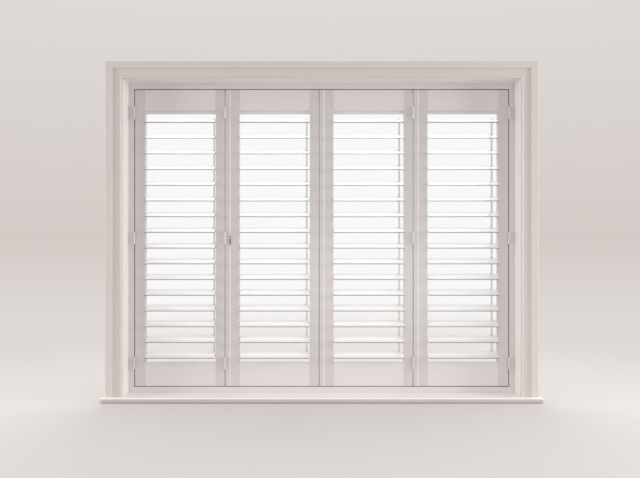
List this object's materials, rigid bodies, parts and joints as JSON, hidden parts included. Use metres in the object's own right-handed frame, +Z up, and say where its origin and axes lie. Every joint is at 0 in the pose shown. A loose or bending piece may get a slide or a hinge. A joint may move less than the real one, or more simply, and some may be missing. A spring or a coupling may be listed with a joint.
{
  "type": "louvred shutters",
  "caption": "Folding louvred shutters in a recessed timber frame, with lining, mitred casing and window board; the louvres tilt together on a rod.",
  "frame": {"origin": "midway along the underside of the window board, in the plane of the wall's face", "axes": "+X to the right as seen from the room, +Y towards the window, +Z up"},
  "size_m": [1.802, 0.1789, 1.39],
  "materials": {
    "frame_paint": "satin paint, warm off-white, on planed wood",
    "leaf_paint": "satin paint, warm off-white, on planed wood",
    "louvre_paint": "satin paint, warm off-white, on planed wood",
    "hinge_metal": "satin enamel, off-white",
    "rod_metal": "satin enamel, off-white"
  },
  "bodies": {
    "frame": {"window_board": "frame_paint", "casing_head": "frame_paint", "casing_left": "frame_paint", "casing_right": "frame_paint", "lining_head": "frame_paint", "lining_left": "frame_paint", "lining_right": "frame_paint", "frame_head": "frame_paint", "frame_bottom": "frame_paint", "frame_left": "frame_paint", "frame_right": "frame_paint", "frame_hinges": "hinge_metal"},
    "leaf_1": {"leaf_1_stiles": "leaf_paint", "leaf_1_rails": "leaf_paint", "leaf_1_hinges": "hinge_metal"},
    "leaf_2": {"leaf_2_stiles": "leaf_paint", "leaf_2_rails": "leaf_paint", "leaf_2_hinges": "hinge_metal"},
    "leaf_3": {"leaf_3_stiles": "leaf_paint", "leaf_3_rails": "leaf_paint", "leaf_3_hinges": "hinge_metal", "leaf_3_louvres": "louvre_paint"},
    "leaf_4": {"leaf_4_stiles": "leaf_paint", "leaf_4_rails": "leaf_paint", "leaf_4_hinges": "hinge_metal", "leaf_4_louvres": "louvre_paint"},
    "leaf_1_louvre_01": {"leaf_1_louvre_01": "louvre_paint"},
    "leaf_1_louvre_02": {"leaf_1_louvre_02": "louvre_paint"},
    "leaf_1_louvre_03": {"leaf_1_louvre_03": "louvre_paint"},
    "leaf_1_louvre_04": {"leaf_1_louvre_04": "louvre_paint"},
    "leaf_1_louvre_05": {"leaf_1_louvre_05": "louvre_paint"},
    "leaf_1_louvre_06": {"leaf_1_louvre_06": "louvre_paint"},
    "leaf_1_louvre_07": {"leaf_1_louvre_07": "louvre_paint"},
    "leaf_1_louvre_08": {"leaf_1_louvre_08": "louvre_paint"},
    "leaf_1_louvre_09": {"leaf_1_louvre_09": "louvre_paint"},
    "leaf_1_louvre_10": {"leaf_1_louvre_10": "louvre_paint"},
    "leaf_1_louvre_11": {"leaf_1_louvre_11": "louvre_paint"},
    "leaf_1_louvre_12": {"leaf_1_louvre_12": "louvre_paint"},
    "leaf_1_louvre_13": {"leaf_1_louvre_13": "louvre_paint"},
    "leaf_1_louvre_14": {"leaf_1_louvre_14": "louvre_paint"},
    "leaf_1_louvre_15": {"leaf_1_louvre_15": "louvre_paint"},
    "leaf_1_louvre_16": {"leaf_1_louvre_16": "louvre_paint"},
    "leaf_1_tilt_rod": {"leaf_1_tilt_rod": "rod_metal"},
    "leaf_2_louvre_01": {"leaf_2_louvre_01": "louvre_paint"},
    "leaf_2_louvre_02": {"leaf_2_louvre_02": "louvre_paint"},
    "leaf_2_louvre_03": {"leaf_2_louvre_03": "louvre_paint"},
    "leaf_2_louvre_04": {"leaf_2_louvre_04": "louvre_paint"},
    "leaf_2_louvre_05": {"leaf_2_louvre_05": "louvre_paint"},
    "leaf_2_louvre_06": {"leaf_2_louvre_06": "louvre_paint"},
    "leaf_2_louvre_07": {"leaf_2_louvre_07": "louvre_paint"},
    "leaf_2_louvre_08": {"leaf_2_louvre_08": "louvre_paint"},
    "leaf_2_louvre_09": {"leaf_2_louvre_09": "louvre_paint"},
    "leaf_2_louvre_10": {"leaf_2_louvre_10": "louvre_paint"},
    "leaf_2_louvre_11": {"leaf_2_louvre_11": "louvre_paint"},
    "leaf_2_louvre_12": {"leaf_2_louvre_12": "louvre_paint"},
    "leaf_2_louvre_13": {"leaf_2_louvre_13": "louvre_paint"},
    "leaf_2_louvre_14": {"leaf_2_louvre_14": "louvre_paint"},
    "leaf_2_louvre_15": {"leaf_2_louvre_15": "louvre_paint"},
    "leaf_2_louvre_16": {"leaf_2_louvre_16": "louvre_paint"},
    "leaf_2_tilt_rod": {"leaf_2_tilt_rod": "rod_metal"}
  },
  "joints": [
    {"name": "leaf_1_swing", "type": "hinge", "parent": "frame", "child": "leaf_1", "pos_m": [-0.786, 0.0767, 0.6705], "axis": [0, 0, -1], "range_deg": [0, 90]},
    {"name": "leaf_2_fold", "type": "hinge", "parent": "leaf_1", "child": "leaf_2", "pos_m": [-0.406, 0.0767, 0.6705], "axis": [0, 0, -1], "range_deg": [0, 120]},
    {"name": "leaf_4_swing", "type": "hinge", "parent": "frame", "child": "leaf_4", "pos_m": [0.786, 0.0767, 0.6705], "axis": [0, 0, 1], "range_deg": [0, 90]},
    {"name": "leaf_3_fold", "type": "hinge", "parent": "leaf_4", "child": "leaf_3", "pos_m": [0.384, 0.0767, 0.6705], "axis": [0, 0, 1], "range_deg": [0, 120]},
    {"name": "leaf_1_louvre_01_tilt", "type": "hinge", "parent": "leaf_1", "child": "leaf_1_louvre_01", "pos_m": [-0.5925, 0.096, 1.1625], "axis": [1, 0, 0], "range_deg": [-84, 46]},
    {"name": "leaf_1_louvre_02_tilt", "type": "hinge", "parent": "leaf_1", "child": "leaf_1_louvre_02", "pos_m": [-0.5925, 0.096, 1.0969], "axis": [1, 0, 0], "range_deg": [-84, 46]},
    {"name": "leaf_1_louvre_03_tilt", "type": "hinge", "parent": "leaf_1", "child": "leaf_1_louvre_03", "pos_m": [-0.5925, 0.096, 1.0313], "axis": [1, 0, 0], "range_deg": [-84, 46]},
    {"name": "leaf_1_louvre_04_tilt", "type": "hinge", "parent": "leaf_1", "child": "leaf_1_louvre_04", "pos_m": [-0.5925, 0.096, 0.9657], "axis": [1, 0, 0], "range_deg": [-84, 46]},
    {"name": "leaf_1_louvre_05_tilt", "type": "hinge", "parent": "leaf_1", "child": "leaf_1_louvre_05", "pos_m": [-0.5925, 0.096, 0.9001], "axis": [1, 0, 0], "range_deg": [-84, 46]},
    {"name": "leaf_1_louvre_06_tilt", "type": "hinge", "parent": "leaf_1", "child": "leaf_1_louvre_06", "pos_m": [-0.5925, 0.096, 0.8345], "axis": [1, 0, 0], "range_deg": [-84, 46]},
    {"name": "leaf_1_louvre_07_tilt", "type": "hinge", "parent": "leaf_1", "child": "leaf_1_louvre_07", "pos_m": [-0.5925, 0.096, 0.7689], "axis": [1, 0, 0], "range_deg": [-84, 46]},
    {"name": "leaf_1_louvre_08_tilt", "type": "hinge", "parent": "leaf_1", "child": "leaf_1_louvre_08", "pos_m": [-0.5925, 0.096, 0.7033], "axis": [1, 0, 0], "range_deg": [-84, 46]},
    {"name": "leaf_1_louvre_09_tilt", "type": "hinge", "parent": "leaf_1", "child": "leaf_1_louvre_09", "pos_m": [-0.5925, 0.096, 0.6377], "axis": [1, 0, 0], "range_deg": [-84, 46]},
    {"name": "leaf_1_louvre_10_tilt", "type": "hinge", "parent": "leaf_1", "child": "leaf_1_louvre_10", "pos_m": [-0.5925, 0.096, 0.5721], "axis": [1, 0, 0], "range_deg": [-84, 46]},
    {"name": "leaf_1_louvre_11_tilt", "type": "hinge", "parent": "leaf_1", "child": "leaf_1_louvre_11", "pos_m": [-0.5925, 0.096, 0.5065], "axis": [1, 0, 0], "range_deg": [-84, 46]},
    {"name": "leaf_1_louvre_12_tilt", "type": "hinge", "parent": "leaf_1", "child": "leaf_1_louvre_12", "pos_m": [-0.5925, 0.096, 0.4409], "axis": [1, 0, 0], "range_deg": [-84, 46]},
    {"name": "leaf_1_louvre_13_tilt", "type": "hinge", "parent": "leaf_1", "child": "leaf_1_louvre_13", "pos_m": [-0.5925, 0.096, 0.3753], "axis": [1, 0, 0], "range_deg": [-84, 46]},
    {"name": "leaf_1_louvre_14_tilt", "type": "hinge", "parent": "leaf_1", "child": "leaf_1_louvre_14", "pos_m": [-0.5925, 0.096, 0.3097], "axis": [1, 0, 0], "range_deg": [-84, 46]},
    {"name": "leaf_1_louvre_15_tilt", "type": "hinge", "parent": "leaf_1", "child": "leaf_1_louvre_15", "pos_m": [-0.5925, 0.096, 0.2441], "axis": [1, 0, 0], "range_deg": [-84, 46]},
    {"name": "leaf_1_louvre_16_tilt", "type": "hinge", "parent": "leaf_1", "child": "leaf_1_louvre_16", "pos_m": [-0.5925, 0.096, 0.1785], "axis": [1, 0, 0], "range_deg": [-84, 46]},
    {"name": "leaf_1_tilt_rod_pivot", "type": "hinge", "parent": "leaf_1_louvre_01", "child": "leaf_1_tilt_rod", "pos_m": [-0.4585, 0.13637, 1.17408], "axis": [1, 0, 0], "range_deg": [-46, 84]},
    {"name": "leaf_2_louvre_01_tilt", "type": "hinge", "parent": "leaf_2", "child": "leaf_2_louvre_01", "pos_m": [-0.1975, 0.096, 1.1625], "axis": [1, 0, 0], "range_deg": [-84, 46]},
    {"name": "leaf_2_louvre_02_tilt", "type": "hinge", "parent": "leaf_2", "child": "leaf_2_louvre_02", "pos_m": [-0.1975, 0.096, 1.0969], "axis": [1, 0, 0], "range_deg": [-84, 46]},
    {"name": "leaf_2_louvre_03_tilt", "type": "hinge", "parent": "leaf_2", "child": "leaf_2_louvre_03", "pos_m": [-0.1975, 0.096, 1.0313], "axis": [1, 0, 0], "range_deg": [-84, 46]},
    {"name": "leaf_2_louvre_04_tilt", "type": "hinge", "parent": "leaf_2", "child": "leaf_2_louvre_04", "pos_m": [-0.1975, 0.096, 0.9657], "axis": [1, 0, 0], "range_deg": [-84, 46]},
    {"name": "leaf_2_louvre_05_tilt", "type": "hinge", "parent": "leaf_2", "child": "leaf_2_louvre_05", "pos_m": [-0.1975, 0.096, 0.9001], "axis": [1, 0, 0], "range_deg": [-84, 46]},
    {"name": "leaf_2_louvre_06_tilt", "type": "hinge", "parent": "leaf_2", "child": "leaf_2_louvre_06", "pos_m": [-0.1975, 0.096, 0.8345], "axis": [1, 0, 0], "range_deg": [-84, 46]},
    {"name": "leaf_2_louvre_07_tilt", "type": "hinge", "parent": "leaf_2", "child": "leaf_2_louvre_07", "pos_m": [-0.1975, 0.096, 0.7689], "axis": [1, 0, 0], "range_deg": [-84, 46]},
    {"name": "leaf_2_louvre_08_tilt", "type": "hinge", "parent": "leaf_2", "child": "leaf_2_louvre_08", "pos_m": [-0.1975, 0.096, 0.7033], "axis": [1, 0, 0], "range_deg": [-84, 46]},
    {"name": "leaf_2_louvre_09_tilt", "type": "hinge", "parent": "leaf_2", "child": "leaf_2_louvre_09", "pos_m": [-0.1975, 0.096, 0.6377], "axis": [1, 0, 0], "range_deg": [-84, 46]},
    {"name": "leaf_2_louvre_10_tilt", "type": "hinge", "parent": "leaf_2", "child": "leaf_2_louvre_10", "pos_m": [-0.1975, 0.096, 0.5721], "axis": [1, 0, 0], "range_deg": [-84, 46]},
    {"name": "leaf_2_louvre_11_tilt", "type": "hinge", "parent": "leaf_2", "child": "leaf_2_louvre_11", "pos_m": [-0.1975, 0.096, 0.5065], "axis": [1, 0, 0], "range_deg": [-84, 46]},
    {"name": "leaf_2_louvre_12_tilt", "type": "hinge", "parent": "leaf_2", "child": "leaf_2_louvre_12", "pos_m": [-0.1975, 0.096, 0.4409], "axis": [1, 0, 0], "range_deg": [-84, 46]},
    {"name": "leaf_2_louvre_13_tilt", "type": "hinge", "parent": "leaf_2", "child": "leaf_2_louvre_13", "pos_m": [-0.1975, 0.096, 0.3753], "axis": [1, 0, 0], "range_deg": [-84, 46]},
    {"name": "leaf_2_louvre_14_tilt", "type": "hinge", "parent": "leaf_2", "child": "leaf_2_louvre_14", "pos_m": [-0.1975, 0.096, 0.3097], "axis": [1, 0, 0], "range_deg": [-84, 46]},
    {"name": "leaf_2_louvre_15_tilt", "type": "hinge", "parent": "leaf_2", "child": "leaf_2_louvre_15", "pos_m": [-0.1975, 0.096, 0.2441], "axis": [1, 0, 0], "range_deg": [-84, 46]},
    {"name": "leaf_2_louvre_16_tilt", "type": "hinge", "parent": "leaf_2", "child": "leaf_2_louvre_16", "pos_m": [-0.1975, 0.096, 0.1785], "axis": [1, 0, 0], "range_deg": [-84, 46]},
    {"name": "leaf_2_tilt_rod_pivot", "type": "hinge", "parent": "leaf_2_louvre_01", "child": "leaf_2_tilt_rod", "pos_m": [-0.0635, 0.13637, 1.17408], "axis": [1, 0, 0], "range_deg": [-46, 84]}
  ],
  "couplings": [
    {"joint": "leaf_1_louvre_02_tilt", "follows": "leaf_1_louvre_01_tilt", "ratio": 1},
    {"joint": "leaf_1_louvre_03_tilt", "follows": "leaf_1_louvre_01_tilt", "ratio": 1},
    {"joint": "leaf_1_louvre_04_tilt", "follows": "leaf_1_louvre_01_tilt", "ratio": 1},
    {"joint": "leaf_1_louvre_05_tilt", "follows": "leaf_1_louvre_01_tilt", "ratio": 1},
    {"joint": "leaf_1_louvre_06_tilt", "follows": "leaf_1_louvre_01_tilt", "ratio": 1},
    {"joint": "leaf_1_louvre_07_tilt", "follows": "leaf_1_louvre_01_tilt", "ratio": 1},
    {"joint": "leaf_1_louvre_08_tilt", "follows": "leaf_1_louvre_01_tilt", "ratio": 1},
    {"joint": "leaf_1_louvre_09_tilt", "follows": "leaf_1_louvre_01_tilt", "ratio": 1},
    {"joint": "leaf_1_louvre_10_tilt", "follows": "leaf_1_louvre_01_tilt", "ratio": 1},
    {"joint": "leaf_1_louvre_11_tilt", "follows": "leaf_1_louvre_01_tilt", "ratio": 1},
    {"joint": "leaf_1_louvre_12_tilt", "follows": "leaf_1_louvre_01_tilt", "ratio": 1},
    {"joint": "leaf_1_louvre_13_tilt", "follows": "leaf_1_louvre_01_tilt", "ratio": 1},
    {"joint": "leaf_1_louvre_14_tilt", "follows": "leaf_1_louvre_01_tilt", "ratio": 1},
    {"joint": "leaf_1_louvre_15_tilt", "follows": "leaf_1_louvre_01_tilt", "ratio": 1},
    {"joint": "leaf_1_louvre_16_tilt", "follows": "leaf_1_louvre_01_tilt", "ratio": 1},
    {"joint": "leaf_1_tilt_rod_pivot", "follows": "leaf_1_louvre_01_tilt", "ratio": -1},
    {"joint": "leaf_2_louvre_02_tilt", "follows": "leaf_2_louvre_01_tilt", "ratio": 1},
    {"joint": "leaf_2_louvre_03_tilt", "follows": "leaf_2_louvre_01_tilt", "ratio": 1},
    {"joint": "leaf_2_louvre_04_tilt", "follows": "leaf_2_louvre_01_tilt", "ratio": 1},
    {"joint": "leaf_2_louvre_05_tilt", "follows": "leaf_2_louvre_01_tilt", "ratio": 1},
    {"joint": "leaf_2_louvre_06_tilt", "follows": "leaf_2_louvre_01_tilt", "ratio": 1},
    {"joint": "leaf_2_louvre_07_tilt", "follows": "leaf_2_louvre_01_tilt", "ratio": 1},
    {"joint": "leaf_2_louvre_08_tilt", "follows": "leaf_2_louvre_01_tilt", "ratio": 1},
    {"joint": "leaf_2_louvre_09_tilt", "follows": "leaf_2_louvre_01_tilt", "ratio": 1},
    {"joint": "leaf_2_louvre_10_tilt", "follows": "leaf_2_louvre_01_tilt", "ratio": 1},
    {"joint": "leaf_2_louvre_11_tilt", "follows": "leaf_2_louvre_01_tilt", "ratio": 1},
    {"joint": "leaf_2_louvre_12_tilt", "follows": "leaf_2_louvre_01_tilt", "ratio": 1},
    {"joint": "leaf_2_louvre_13_tilt", "follows": "leaf_2_louvre_01_tilt", "ratio": 1},
    {"joint": "leaf_2_louvre_14_tilt", "follows": "leaf_2_louvre_01_tilt", "ratio": 1},
    {"joint": "leaf_2_louvre_15_tilt", "follows": "leaf_2_louvre_01_tilt", "ratio": 1},
    {"joint": "leaf_2_louvre_16_tilt", "follows": "leaf_2_louvre_01_tilt", "ratio": 1},
    {"joint": "leaf_2_tilt_rod_pivot", "follows": "leaf_2_louvre_01_tilt", "ratio": -1}
  ]
}
